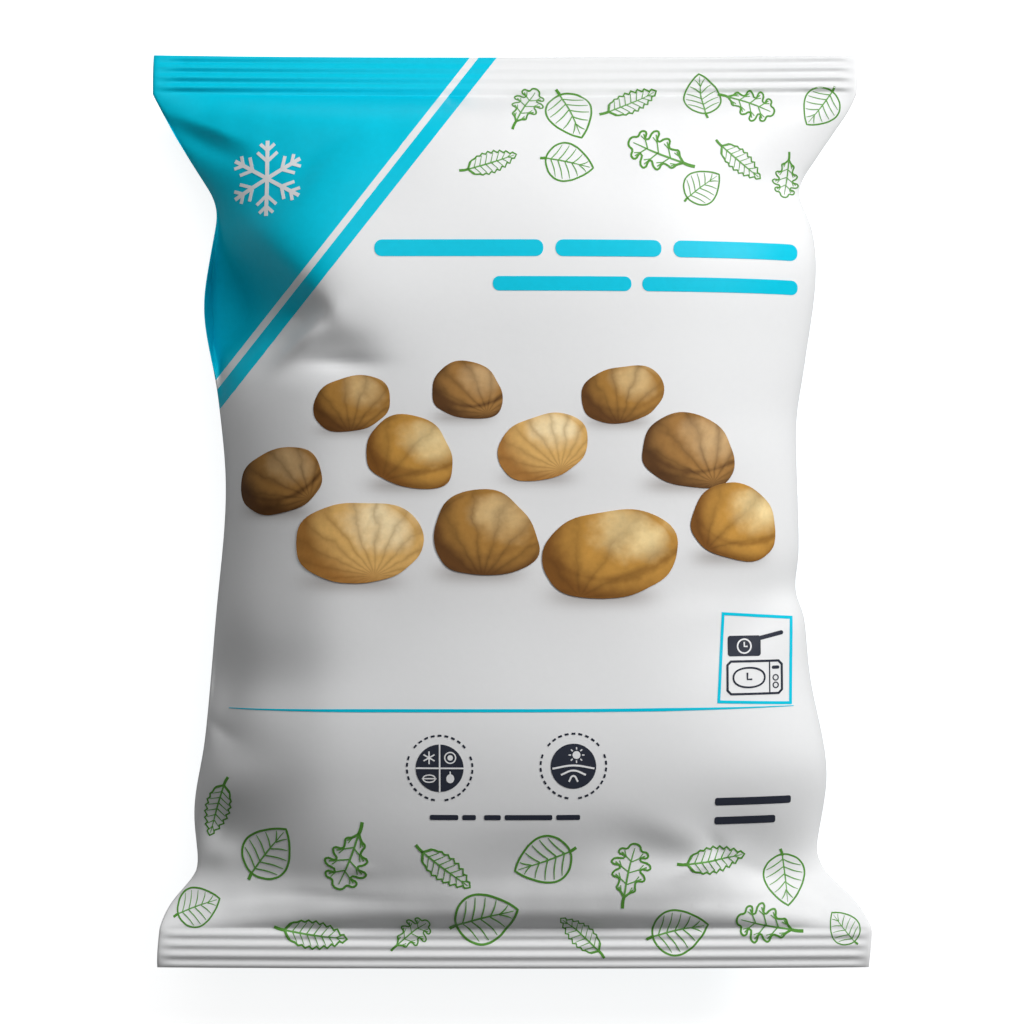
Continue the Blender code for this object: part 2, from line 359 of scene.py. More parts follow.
spots = [vert.co for vert in film.data.vertices]
shades = [print_shade(spot.x, spot.y) if spot.z > PICTURE_ABOVE else 0.0 for spot in spots]
film.data.attributes.new("print_shade", "FLOAT", "POINT").data.foreach_set("value", shades)
white_film, tree, shader, grain = film_finish("white_film", FILM_SHEEN, FILM_WRINKLE, 0.03)
printed = add_node(tree, "ShaderNodeAttribute", attribute_name="print_shade")
mixed = add_node(tree, "ShaderNodeMix", data_type="RGBA")
mixed.inputs["A"].default_value = WHITE_FILM
mixed.inputs["B"].default_value = SHADOW_TINT
tree.links.new(printed.outputs["Fac"], mixed.inputs["Factor"])
tint = add_node(tree, "ShaderNodeVectorMath", operation="SCALE")
tree.links.new(mixed.outputs["Result"], tint.inputs[0])
tree.links.new(grain.outputs["Density"], tint.inputs["Scale"])
tree.links.new(tint.outputs["Vector"], shader.inputs["Base Color"])
cyan_film = ink_finish("cyan_film", CYAN_FILM)
film.data.materials.clear()
film.data.materials.append(white_film)
film.data.materials.append(cyan_film)
for face in film.data.polygons:
    from_camera = face.center - camera_place
    past_corner, past_inner, past_outer = [from_camera.dot(plane) > 0 for plane in edge_planes]
    in_corner = not past_corner or (past_inner and not past_outer)
    is_cyan = face.normal.z < BACK_COLOUR_STARTS or in_corner
    face.material_index = CYAN_FIELD if is_cyan else WHITE_FIELD
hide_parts("pillow_pack")
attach(film, "root")

# The green leaf bands
# Rows of leaves in green outline, printed below the head seal and above and across the foot seal.
# Each kind is drawn once as flat lines of ink, copied to its places, and laid down on the film.
DRAWING_HEIGHT = 0.12
INK_LIFT = 0.00005
INK_THICKNESS = 0.00009
INK_SAME_POINT = 0.000002
INK_EDGE_ANGLE = math.radians(40)
STEEPEST_PRINT = 0.25
NOT_DROPPED = 0.02
LEAF_CELL = 0.0006
LEAF_LINE = 0.036
VEIN_LINE = 0.022
LEAF_GREEN = (0.090, 0.270, 0.040)
VEIN_GREEN = (0.125, 0.330, 0.070)


def ink_line(points, width, closed=False, sharp=(), steps=8, start=1.0, ends=1.0):
    """One flat line of ink through the points, as a mesh; sharp numbers the points that stay corners."""
    bpy.ops.object.select_all(action="DESELECT")
    bpy.ops.curve.primitive_bezier_curve_add()
    line = bpy.context.object
    line.data.splines[0].bezier_points.add(len(points) - 2)
    line.data.dimensions = "3D"
    line.data.twist_mode = "Z_UP"
    line.data.extrude = width / 2
    line.data.resolution_u = steps
    line.data.splines[0].use_cyclic_u = closed
    for number, (knot, (x, y)) in enumerate(zip(line.data.splines[0].bezier_points, points)):
        knot.co = (x, y, 0.0)
        knot.handle_left_type = "VECTOR" if number in sharp else "AUTO"
        knot.handle_right_type = knot.handle_left_type
        knot.tilt = math.pi / 2
        knot.radius = {0: start, len(points) - 1: ends}.get(number, 1.0)
    work_on(line)
    bpy.ops.object.convert(target="MESH")
    return bpy.context.object


def join_pieces(pieces, name):
    bpy.ops.object.select_all(action="DESELECT")
    for piece in pieces:
        piece.select_set(True)
    bpy.context.view_layer.objects.active = pieces[0]
    bpy.ops.object.join()
    bpy.context.object.name = name
    return bpy.context.object


def copy_to(piece, across, along, size, degrees):
    """A copy with its own mesh, sized, turned and set at its place on the drawing."""
    twin = piece.copy()
    twin.data = piece.data.copy()
    bpy.context.collection.objects.link(twin)
    spot = Matrix.Translation((across, along, DRAWING_HEIGHT))
    twin.data.transform(spot @ Matrix.Rotation(math.radians(degrees), 4, "Z") @ Matrix.Scale(size, 4))
    return twin


def cut_in_cells(piece, cell):
    """Cuts a flat drawing into small squares, so that it can follow the film."""
    for axis in (0, 1):
        spread = [vert.co[axis] for vert in piece.data.vertices]
        across = Vector((1.0 - axis, float(axis), 0.0))
        place = min(spread) + cell
        while place < max(spread):
            bpy.ops.object.mode_set(mode="EDIT")
            bpy.ops.mesh.select_all(action="SELECT")
            bpy.ops.mesh.bisect(plane_co=across * place, plane_no=across)
            bpy.ops.object.mode_set(mode="OBJECT")
            place += cell


def lay_on_film(piece, ink, lift, cell):
    """Drops a flat drawing on the film, cuts off what misses it or lies too steep, and gives it its wall."""
    work_on(piece)
    cut_in_cells(piece, cell)
    drop = piece.modifiers.new("drop", "SHRINKWRAP")
    drop.target = film
    drop.wrap_method = "PROJECT"
    drop.use_project_z = True
    drop.use_negative_direction = True
    drop.use_positive_direction = False
    drop.offset = lift
    bpy.ops.object.modifier_apply(modifier=drop.name)
    missed = {vert.index for vert in piece.data.vertices if vert.co.z > DRAWING_HEIGHT - NOT_DROPPED}
    pick_faces(piece, lambda face: abs(face.normal.z) < STEEPEST_PRINT or bool(missed & set(face.vertices)))
    bpy.ops.mesh.delete(type="FACE")
    bpy.ops.mesh.select_all(action="SELECT")
    bpy.ops.mesh.remove_doubles(threshold=INK_SAME_POINT)
    bpy.ops.mesh.normals_make_consistent(inside=False)
    bpy.ops.object.mode_set(mode="OBJECT")
    if sum(face.normal.z for face in piece.data.polygons) < 0:
        piece.data.flip_normals()
    wall = piece.modifiers.new("wall", "SOLIDIFY")
    wall.thickness = INK_THICKNESS
    wall.offset = 1.0
    bpy.ops.object.modifier_apply(modifier=wall.name)
    bpy.ops.object.shade_smooth_by_angle(angle=INK_EDGE_ANGLE)
    piece.data.materials.clear()
    piece.data.materials.append(ink)
    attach(piece, "root")


def broad_half(along):
    """Half the width of a broad leaf, one unit long, at a distance along it."""
    return 0.42 * math.sin(math.pi * along ** 0.72) ** 0.8


def broad_leaf():
    """A smooth broad leaf with a short stalk, one unit long, and curved side veins."""
    stations = [0.0, 0.06, 0.18, 0.36, 0.56, 0.76, 0.91, 1.0]
    upper = [(along, broad_half(along) if 0 < along < 1 else 0.0) for along in stations]
    lower = [(along, -width) for along, width in reversed(upper[1:-1])]
    rim = [ink_line(upper + lower, LEAF_LINE, closed=True, sharp=(7,), steps=5)]
    rim.append(ink_line([(-0.12, -0.03), (0.0, 0.0), (0.02, 0.0)], LEAF_LINE * 1.5, steps=3))
    veins = [ink_line([(0.0, 0.0), (0.45, 0.015), (0.93, 0.0)], VEIN_LINE * 1.3, steps=8, ends=0.4)]
    for number in range(5):
        root = 0.10 + 0.15 * number
        for side in (-1, 1):
            reach = root + 0.17
            tip = (reach, side * (broad_half(reach) - 0.045))
            middle = (root + 0.11, 0.55 * tip[1])
            veins.append(ink_line([(root, 0.0), middle, tip], VEIN_LINE, steps=4, ends=0.5))
    return rim, veins


def toothed_leaf():
    """A long leaf with saw teeth along both sides, one unit long, a straight vein to every tooth."""
    teeth = 8
    upper = [(0.0, 0.0)]
    veins = [ink_line([(-0.02, 0.0), (0.5, -0.012), (0.95, 0.0)], VEIN_LINE * 1.3, steps=8, ends=0.4)]
    for number in range(teeth):
        point = 0.14 + 0.80 * number / (teeth - 1)
        half = 0.23 * math.sin(math.pi * point ** 0.85) ** 0.7
        upper.append((point - 0.055, half * 0.82))
        upper.append((point, half))
        for side in (-1, 1):
            end = (point - 0.025, side * half * 0.80)
            vein = [(point - 0.12, 0.0), end]
            veins.append(ink_line(vein, VEIN_LINE * 0.9, steps=4, sharp=(0, 1), ends=0.5))
    upper.append((1.0, 0.0))
    lower = [(along, -width) for along, width in reversed(upper[1:-1])]
    every = range(len(upper) + len(lower))
    rim = [ink_line(upper + lower, LEAF_LINE * 0.9, closed=True, sharp=every, steps=3)]
    rim.append(ink_line([(-0.16, 0.03), (-0.06, 0.005), (0.01, 0.0)], LEAF_LINE * 1.4, steps=3))
    return rim, veins


def lobed_leaf():
    """A leaf of round lobes, one unit long, as on an oak, with a vein to each lobe."""
    upper = [(0.0, 0.0)]
    veins = [ink_line([(0.0, 0.0), (0.5, 0.02), (0.93, 0.0)], VEIN_LINE * 1.5, steps=8, ends=0.4)]
    for along, half in ((0.16, 0.17), (0.38, 0.30), (0.60, 0.36), (0.80, 0.27)):
        upper.append((along - 0.055, half * 0.52))
        upper.append((along, half * 0.98))
        upper.append((along + 0.075, half * 0.90))
        for side in (-1, 1):
            vein = [(along - 0.13, 0.0), (along + 0.02, side * half * 0.80)]
            veins.append(ink_line(vein, VEIN_LINE, steps=5))
            twig = [(along - 0.06, side * half * 0.42), (along + 0.055, side * half * 0.62)]
            veins.append(ink_line(twig, VEIN_LINE * 0.8, steps=3))
    upper.extend([(0.90, 0.13), (0.98, 0.085), (1.01, 0.0)])
    lower = [(along, -width) for along, width in reversed(upper[1:-1])]
    rim = [ink_line(upper + lower, LEAF_LINE, closed=True, sharp=(0,), steps=4)]
    rim.append(ink_line([(-0.20, -0.02), (-0.08, 0.0), (0.02, 0.0)], LEAF_LINE * 1.6, steps=3))
    return rim, veins


# The bands' leaves: (kind, across, along, length, direction in degrees)
BROAD, TOOTHED, LOBED = range(3)
LEAF_PLACES = (
    (LOBED, 0.0020, 0.1290, 0.0150, 62.0),
    (BROAD, 0.0170, 0.1405, 0.0185, -68.0),
    (TOOTHED, 0.0330, 0.1330, 0.0190, 28.0),
    (BROAD, 0.0660, 0.1330, 0.0150, 96.0),
    (LOBED, 0.0740, 0.1400, 0.0165, -22.0),
    (BROAD, 0.1100, 0.1420, 0.0150, -128.0),
    (TOOTHED, -0.0140, 0.1120, 0.0170, 18.0),
    (BROAD, 0.0120, 0.1160, 0.0160, -12.0),
    (LOBED, 0.0580, 0.1150, 0.0195, 158.0),
    (BROAD, 0.0590, 0.1030, 0.0140, 38.0),
    (TOOTHED, 0.0710, 0.1215, 0.0170, -38.0),
    (LOBED, 0.0945, 0.1180, 0.0130, -98.0),
    (TOOTHED, -0.0960, -0.0930, 0.0190, -108.0),
    (BROAD, -0.0870, -0.1230, 0.0200, 52.0),
    (LOBED, -0.0500, -0.1080, 0.0205, -112.0),
    (TOOTHED, -0.0290, -0.1140, 0.0200, -38.0),
    (BROAD, 0.0200, -0.1140, 0.0195, -160.0),
    (LOBED, 0.0380, -0.1300, 0.0185, 78.0),
    (TOOTHED, 0.0590, -0.1190, 0.0200, 8.0),
    (BROAD, 0.0920, -0.1170, 0.0170, -84.0),
    (BROAD, -0.1120, -0.1370, 0.0150, 20.0),
    (TOOTHED, -0.0760, -0.1420, 0.0215, -8.0),
    (LOBED, -0.0380, -0.1470, 0.0135, 38.0),
    (BROAD, -0.0180, -0.1400, 0.0215, 16.0),
    (TOOTHED, 0.0300, -0.1490, 0.0175, 138.0),
    (BROAD, 0.0480, -0.1440, 0.0190, 12.0),
    (LOBED, 0.0950, -0.1420, 0.0190, 168.0),
    (BROAD, 0.1160, -0.1460, 0.0120, 128.0),
)
leaf_ink = ink_finish("leaf_ink", LEAF_GREEN)
vein_ink = ink_finish("vein_ink", VEIN_GREEN, unevenness=0.30)
drawn = [broad_leaf(), toothed_leaf(), lobed_leaf()]
rims = [join_pieces(rim, "leaf_rim") for rim, veins in drawn]
veins = [join_pieces(veins, "leaf_veins") for rim, veins in drawn]
for band, in_band in (("head", lambda along: along > 0), ("foot", lambda along: along < 0)):
    rows = [row for row in LEAF_PLACES if in_band(row[2])]
    for part, patterns, ink in (("rims", rims, leaf_ink), ("veins", veins, vein_ink)):
        copies = [copy_to(patterns[kind], x, y, length, turn) for kind, x, y, length, turn in rows]
        lay_on_film(join_pieces(copies, f"{band}_leaf_{part}"), ink, INK_LIFT, LEAF_CELL)
for pattern in rims + veins:
    bpy.data.objects.remove(pattern)

# The picture of nuts
# Peeled nuts printed in full colour across the middle of the front, large ones before small ones. Each is
# a thin layer of ink of its own, and its material shades it like the picture of a round, grooved nut.
NUT_CELL = 0.0018
NUT_LAYER = 0.00011
NUT_POINTS = 72
NUT_WOBBLE = 0.012
DOME_SQUARE, FOOT_SQUARE = 0.92, 0.84
FOOT_FLATNESS = 0.80


def make_printed_nut():
    """The colours of a photographed nut: lit from the upper right, grooves that fan from its tip, a cleft."""
    nut = bpy.data.node_groups.new("printed_nut", "ShaderNodeTree")
    face = nut.interface
    face.new_socket("Place", in_out="INPUT", socket_type="NodeSocketVector")
    for name in ("Body", "Shade", "Light"):
        face.new_socket(name, in_out="INPUT", socket_type="NodeSocketColor")
    face.new_socket("Tip", in_out="INPUT", socket_type="NodeSocketVector")
    for name in ("Grooves", "Groove Depth", "Cleft"):
        face.new_socket(name, in_out="INPUT", socket_type="NodeSocketFloat")
    face.new_socket("Color", in_out="OUTPUT", socket_type="NodeSocketColor")
    given = add_node(nut, "NodeGroupInput")
    result = add_node(nut, "NodeGroupOutput")

    def link(outlet, node, socket):
        nut.links.new(outlet, node.inputs[socket])

    def maths(operation, first, second=None, third=None, clamp=False):
        node = add_node(nut, "ShaderNodeMath", operation=operation, use_clamp=clamp)
        for number, value in enumerate((first, second, third)):
            if isinstance(value, bpy.types.NodeSocket):
                link(value, node, number)
            elif value is not None:
                node.inputs[number].default_value = value
        return node.outputs["Value"]

    # from the middle of the nut, one unit to its edge
    middle = add_node(nut, "ShaderNodeVectorMath", operation="MULTIPLY_ADD")
    link(given.outputs["Place"], middle, 0)
    middle.inputs[1].default_value = (2.0, 2.0, 0.0)
    middle.inputs[2].default_value = (-1.0, -1.0, 0.0)
    spots = add_node(nut, "ShaderNodeTexCoord")
    wander = add_node(nut, "ShaderNodeTexNoise", values={"Scale": 110.0, "Detail": 3.0, "Roughness": 0.55})
    fibres = add_node(nut, "ShaderNodeTexNoise", values={"Scale": 420.0, "Detail": 4.0, "Roughness": 0.6})
    link(spots.outputs["Object"], wander, "Vector")
    link(spots.outputs["Object"], fibres, "Vector")

    # how far each spot faces the picture's light, as on a ball
    squared = add_node(nut, "ShaderNodeVectorMath", operation="DOT_PRODUCT")
    link(middle.outputs["Vector"], squared, 0)
    link(middle.outputs["Vector"], squared, 1)
    depth = maths("SQRT", maths("MAXIMUM", maths("SUBTRACT", 1.04, squared.outputs["Value"]), 0.01))
    axes = add_node(nut, "ShaderNodeSeparateXYZ")
    link(middle.outputs["Vector"], axes, 0)
    ball = add_node(nut, "ShaderNodeCombineXYZ")
    link(axes.outputs["X"], ball, "X")
    link(axes.outputs["Y"], ball, "Y")
    link(depth, ball, "Z")
    lit = add_node(nut, "ShaderNodeVectorMath", operation="DOT_PRODUCT", values={1: (0.42, 0.55, 0.72)})
    link(ball.outputs["Vector"], lit, 0)
    mottled = maths("MULTIPLY_ADD", maths("SUBTRACT", wander.outputs["Fac"], 0.5), 0.42, lit.outputs["Value"])
    dark_to_body = add_node(nut, "ShaderNodeMapRange", interpolation_type="SMOOTHSTEP")
    dark_to_body.inputs["From Min"].default_value = -0.05
    dark_to_body.inputs["From Max"].default_value = 0.66
    link(mottled, dark_to_body, "Value")
    body_to_light = add_node(nut, "ShaderNodeMapRange", interpolation_type="SMOOTHSTEP")
    body_to_light.inputs["From Min"].default_value = 0.66
    body_to_light.inputs["From Max"].default_value = 1.12
    link(mottled, body_to_light, "Value")
    low = add_node(nut, "ShaderNodeMix", data_type="RGBA")
    link(dark_to_body.outputs["Result"], low, "Factor")
    link(given.outputs["Shade"], low, "A")
    link(given.outputs["Body"], low, "B")
    high = add_node(nut, "ShaderNodeMix", data_type="RGBA")
    link(body_to_light.outputs["Result"], high, "Factor")
    link(low.outputs["Result"], high, "A")
    link(given.outputs["Light"], high, "B")

    # grooves that fan out from the tip
    arm = add_node(nut, "ShaderNodeVectorMath", operation="SUBTRACT")
    link(middle.outputs["Vector"], arm, 0)
    link(given.outputs["Tip"], arm, 1)
    arms = add_node(nut, "ShaderNodeSeparateXYZ")
    link(arm.outputs["Vector"], arms, 0)
    angle = maths("ARCTAN2", arms.outputs["X"], arms.outputs["Y"])
    bent = maths("MULTIPLY_ADD", maths("SUBTRACT", wander.outputs["Fac"], 0.5), 0.36, angle)
    ripple = maths("ABSOLUTE", maths("SINE", maths("MULTIPLY", bent, given.outputs["Grooves"])))
    line = maths("POWER", maths("SUBTRACT", 1.0, ripple, clamp=True), 1.7)
    broken = maths("MULTIPLY_ADD", wander.outputs["Fac"], 2.8, -0.75, clamp=True)
    groove = maths("MULTIPLY", maths("MULTIPLY", line, broken), given.outputs["Groove Depth"])

    # one deep cleft that bows across the lower half
    bow = maths("MULTIPLY_ADD", maths("MULTIPLY", axes.outputs["X"], axes.outputs["X"]), 0.45, -0.42)
    off = maths("ABSOLUTE", maths("SUBTRACT", axes.outputs["Y"], bow))
    wavy = maths("MULTIPLY_ADD", maths("SUBTRACT", wander.outputs["Fac"], 0.5), 0.30, off)
    slit = maths("SUBTRACT", 1.0, maths("MULTIPLY", wavy, 9.0), clamp=True)
    cleft = maths("MULTIPLY", slit, given.outputs["Cleft"])

    creased = add_node(nut, "ShaderNodeMix", data_type="RGBA")
    link(maths("ADD", groove, cleft, clamp=True), creased, "Factor")
    link(high.outputs["Result"], creased, "A")
    link(given.outputs["Shade"], creased, "B")
    bands = maths("MULTIPLY_ADD", ripple, 0.20, 0.88)
    grained = maths("MULTIPLY", bands, maths("MULTIPLY_ADD", fibres.outputs["Fac"], 0.30, 0.85))
    coloured = add_node(nut, "ShaderNodeVectorMath", operation="SCALE")
    link(creased.outputs["Result"], coloured, 0)
    link(grained, coloured, "Scale")
    link(coloured.outputs["Vector"], result, "Color")
    return nut


printed_nut = make_printed_nut()


def nut_finish(name, body, shade, light, tip, grooves, depth, cleft):
    """The printed colours of one kind of nut on film, read from the piece's own UV map."""
    finish, tree, shader, grain = film_finish(name, 0.34, 0.20, 0.05)
    face = add_node(tree, "ShaderNodeUVMap", uv_map="nut_face")
    picture = add_node(tree, "ShaderNodeGroup", node_tree=printed_nut)
    tree.links.new(face.outputs["UV"], picture.inputs["Place"])
    picture.inputs["Body"].default_value = (*body, 1.0)
    picture.inputs["Shade"].default_value = (*shade, 1.0)
    picture.inputs["Light"].default_value = (*light, 1.0)
    picture.inputs["Tip"].default_value = (*tip, 0.0)
    picture.inputs["Grooves"].default_value = grooves
    picture.inputs["Groove Depth"].default_value = depth
    picture.inputs["Cleft"].default_value = cleft
    tint = add_node(tree, "ShaderNodeVectorMath", operation="SCALE")
    tree.links.new(picture.outputs["Color"], tint.inputs[0])
    tree.links.new(grain.outputs["Density"], tint.inputs["Scale"])
    tree.links.new(tint.outputs["Vector"], shader.inputs["Base Color"])
    return finish


nut_finishes = {
    GOLDEN: nut_finish(
        "golden_nut", (0.47, 0.240, 0.048), (0.17, 0.068, 0.013), (0.78, 0.60, 0.30),
        (-0.50, -0.75), 6.0, 0.28, 0.45
    ),
    TAWNY: nut_finish(
        "tawny_nut", (0.31, 0.155, 0.043), (0.085, 0.036, 0.011), (0.56, 0.37, 0.18),
        (0.60, -0.60), 8.0, 0.38, 0.70
    ),
    CREAM: nut_finish(
        "cream_nut", (0.62, 0.37, 0.12), (0.33, 0.15, 0.036), (0.86, 0.70, 0.42),
        (0.30, -0.62), 11.0, 0.30, 0.0
    ),
    UMBER: nut_finish(
        "umber_nut", (0.34, 0.170, 0.038), (0.110, 0.045, 0.012), (0.62, 0.43, 0.20),
        (-0.15, -0.90), 9.0, 0.34, 0.25
    ),
}


def nut_outline(angle, bulge):
    """A point on the outline of a nut one unit across: domed above, flatter below, never quite even."""
    swell = 1.0 + bulge * math.sin(2 * angle + 0.6) + 0.5 * bulge * math.sin(3 * angle)
    swell += NUT_WOBBLE * math.sin(7 * angle + 90 * bulge)
    square = DOME_SQUARE if angle > 0 else FOOT_SQUARE
    across = math.copysign(abs(math.cos(angle)) ** square, math.cos(angle))
    along = math.copysign(abs(math.sin(angle)) ** square, math.sin(angle))
    return 0.5 * across * swell, 0.5 * along * swell * (1.0 if along > 0 else FOOT_FLATNESS)


for number, (across, along, width, height, degrees, bulge, kind, layer) in enumerate(NUT_PLACES, 1):
    bpy.ops.object.select_all(action="DESELECT")
    bpy.ops.mesh.primitive_circle_add(
        vertices=NUT_POINTS, radius=0.5, fill_type="NGON", location=(0, 0, 0)
    )
    nut = bpy.context.object
    nut.name = f"nut_{number:02d}"
    for vert in nut.data.vertices:
        vert.co.x, vert.co.y = nut_outline(math.atan2(vert.co.y, vert.co.x), bulge)
    spot = Matrix.Translation((across, along, DRAWING_HEIGHT))
    spot = spot @ Matrix.Rotation(math.radians(degrees), 4, "Z") @ Matrix.Diagonal((width, height, 1.0, 1.0))
    nut.data.transform(spot)
    lay_on_film(nut, nut_finishes[kind], INK_LIFT + layer * NUT_LAYER, NUT_CELL)
    face_map = nut.data.uv_layers.new(name="nut_face")
    flat = spot.inverted()
    for loop in nut.data.loops:
        local = flat @ nut.data.vertices[loop.vertex_index].co
        face_map.data[loop.index].uv = (local.x + 0.5, local.y + 0.5)

# The cyan print: two lines at the head, the rule and the frame
# Solid cyan ink: plain bars with round ends in two lines, and a thin rule across the front, which ends
# at the corner of a slightly skewed frame.
BAR_CELL = 0.0015
BAR_ROUNDING = 0.45

# Bars: (left end, right end, along, height)
NAME_BARS = (
    (-0.0446, 0.0110, 0.0855, 0.0056),
    (0.0150, 0.0500, 0.0855, 0.0056),
    (0.0540, 0.0965, 0.0855, 0.0056),
    (-0.0056, 0.0400, 0.0737, 0.0048),
    (0.0436, 0.0965, 0.0737, 0.0048),
)
RULE_POINTS = ((-0.0945, -0.0673), (-0.0500, -0.0668), (0.0500, -0.0665), (0.0950, -0.0662))
RULE_WIDTH = 0.00105
RULE_END = 0.25
FRAME_CORNERS = ((0.0707, -0.0351), (0.0945, -0.0368), (0.0939, -0.0652), (0.0691, -0.0642))
FRAME_WIDTH = 0.0014


def ink_block(across, along, width, height, corner):
    """A filled block of ink with round corners, flat on the drawing."""
    bpy.ops.object.select_all(action="DESELECT")
    bpy.ops.mesh.primitive_plane_add(size=1.0, location=(0, 0, 0))
    block = bpy.context.object
    block.data.transform(Matrix.Diagonal((width, height, 1.0, 1.0)))
    bpy.ops.object.mode_set(mode="EDIT")
    bpy.ops.mesh.select_all(action="SELECT")
    bpy.ops.mesh.bevel(offset_type="OFFSET", offset=corner, segments=5, affect="VERTICES")
    bpy.ops.object.mode_set(mode="OBJECT")
    block.data.transform(Matrix.Translation((across, along, DRAWING_HEIGHT)))
    return block


def ink_disc(across, along, radius, flatten=1.0):
    bpy.ops.object.select_all(action="DESELECT")
    bpy.ops.mesh.primitive_circle_add(vertices=48, radius=radius, fill_type="NGON", location=(0, 0, 0))
    disc = bpy.context.object
    disc.data.transform(Matrix.Diagonal((1.0, flatten, 1.0, 1.0)))
    disc.data.transform(Matrix.Translation((across, along, DRAWING_HEIGHT)))
    return disc


def drawn_line(points, width, **shape):
    """An ink line given by its places on the pack, lifted to the height of the drawing."""
    line = ink_line(points, width, **shape)
    line.data.transform(Matrix.Translation((0.0, 0.0, DRAWING_HEIGHT)))
    return line


def ink_ring(across, along, radius, width, flatten=1.0):
    quarter = [(1.0, 0.0), (0.0, 1.0), (-1.0, 0.0), (0.0, -1.0)]
    points = [(across + radius * x, along + radius * flatten * y) for x, y in quarter]
    return drawn_line(points, width, closed=True, steps=10)


cyan_ink = ink_finish("cyan_ink", CYAN_FILM)
bars = [
    ink_block((left + right) / 2, along, right - left, height, BAR_ROUNDING * height)
    for left, right, along, height in NAME_BARS
]
lay_on_film(join_pieces(bars, "name_bars"), cyan_ink, INK_LIFT, BAR_CELL)
rule = drawn_line(RULE_POINTS, RULE_WIDTH, steps=50, start=RULE_END, ends=RULE_END)
rule.name = "rule"
lay_on_film(rule, cyan_ink, INK_LIFT, BAR_CELL)
corner_frame = drawn_line(FRAME_CORNERS, FRAME_WIDTH, closed=True, sharp=(0, 1, 2, 3), steps=20)
corner_frame.name = "sign_frame"
lay_on_film(corner_frame, cyan_ink, INK_LIFT, BAR_CELL)

# The dark print: cooking signs, round emblems and small lines
# Near black ink. The frame holds a pan and an oven, each with the hands of a clock. Two round emblems
# with rings of dashes sit under the rule, with plain bars below them and in the corner.
INK_DARK = (0.026, 0.030, 0.045)
WHITE_INK = (0.76, 0.765, 0.775)
SIGN_CELL = 0.0012
WHITE_LIFT = INK_LIFT + 0.00011
PAN_CENTRE = (0.0779, -0.0459)
OVEN_CENTRE = (0.0815, -0.0564)
FIRST_EMBLEM = (-0.0231, -0.0857, 0.0079)
SECOND_EMBLEM = (0.0209, -0.0850, 0.0075)
EMBLEM_RING = 0.0108
RING_DASHES = 30
RING_GAPS = (5, 15, 25)
SMALL_ROUNDING = 0.3

# Small bars: (left end, right end, along, height)
SMALL_BARS = (
    (-0.0264, -0.0170, -0.1022, 0.0017),
    (-0.0157, -0.0112, -0.1022, 0.0017),
    (-0.0085, -0.0030, -0.1022, 0.0017),
    (-0.0017, 0.0140, -0.1022, 0.0017),
    (0.0153, 0.0232, -0.1022, 0.0017),
    (0.0681, 0.0942, -0.0976, 0.0026),
    (0.0681, 0.0890, -0.1042, 0.0026),
)


def clock_hands(across, along, length, width):
    points = [(across, along + length), (across, along), (across + 0.75 * length, along)]
    return drawn_line(points, width, sharp=(0, 1, 2), steps=6)


dark_ink = ink_finish("dark_ink", INK_DARK)
white_ink = ink_finish("white_ink", WHITE_INK, unevenness=0.04)
pan_x, pan_y = PAN_CENTRE
oven_x, oven_y = OVEN_CENTRE
pan = [
    ink_block(pan_x, pan_y, 0.0113, 0.0068, 0.0009),
    drawn_line([(pan_x + 0.005, pan_y + 0.0024), (pan_x + 0.0128, pan_y + 0.0042)], 0.0014, sharp=(0, 1)),
    ink_disc(pan_x + 0.0129, pan_y + 0.0042, 0.0007),
]
half_wide, half_high, turn = 0.0094, 0.0054, 0.0012
oven_rim = [
    (oven_x - half_wide + turn, oven_y + half_high), (oven_x + half_wide - turn, oven_y + half_high),
    (oven_x + half_wide, oven_y + half_high - turn), (oven_x + half_wide, oven_y - half_high + turn),
    (oven_x + half_wide - turn, oven_y - half_high), (oven_x - half_wide + turn, oven_y - half_high),
    (oven_x - half_wide, oven_y - half_high + turn), (oven_x - half_wide, oven_y + half_high - turn),
]
door_edge = [(oven_x + 0.0051, oven_y + half_high), (oven_x + 0.0051, oven_y - half_high)]
oven = [
    drawn_line(oven_rim, 0.0008, closed=True, sharp=range(8), steps=10),
    drawn_line(door_edge, 0.0004, sharp=(0, 1)),
    ink_ring(oven_x - 0.0020, oven_y, 0.0054, 0.0006, 0.60),
    clock_hands(oven_x - 0.0026, oven_y - 0.0006, 0.0022, 0.0006),
    ink_ring(oven_x + 0.0072, oven_y - 0.0002, 0.0009, 0.0004),
    ink_ring(oven_x + 0.0072, oven_y - 0.0027, 0.0009, 0.0004),
    ink_block(oven_x + 0.0072, oven_y + 0.0032, 0.0026, 0.0011, 0.0005),
]
lay_on_film(join_pieces(pan + oven, "cooking_signs"), dark_ink, INK_LIFT, SIGN_CELL)
clock = [ink_ring(pan_x, pan_y - 0.0001, 0.0023, 0.0005), clock_hands(pan_x, pan_y - 0.0002, 0.0015, 0.0005)]
lay_on_film(join_pieces(clock, "pan_clock"), white_ink, WHITE_LIFT, SIGN_CELL)

emblems = []
for across, along, radius in (FIRST_EMBLEM, SECOND_EMBLEM):
    emblems.append(ink_disc(across, along, radius))
    dash = ink_block(0.0, 0.0, 0.0013, 0.00065, 0.0001)
    dash.data.transform(Matrix.Translation((0.0, EMBLEM_RING, -DRAWING_HEIGHT)))
    for step in range(RING_DASHES):
        if step not in RING_GAPS:
            emblems.append(copy_to(dash, across, along, 1.0, 360.0 * step / RING_DASHES))
    bpy.data.objects.remove(dash)
lay_on_film(join_pieces(emblems, "emblem_discs"), dark_ink, INK_LIFT, SIGN_CELL)

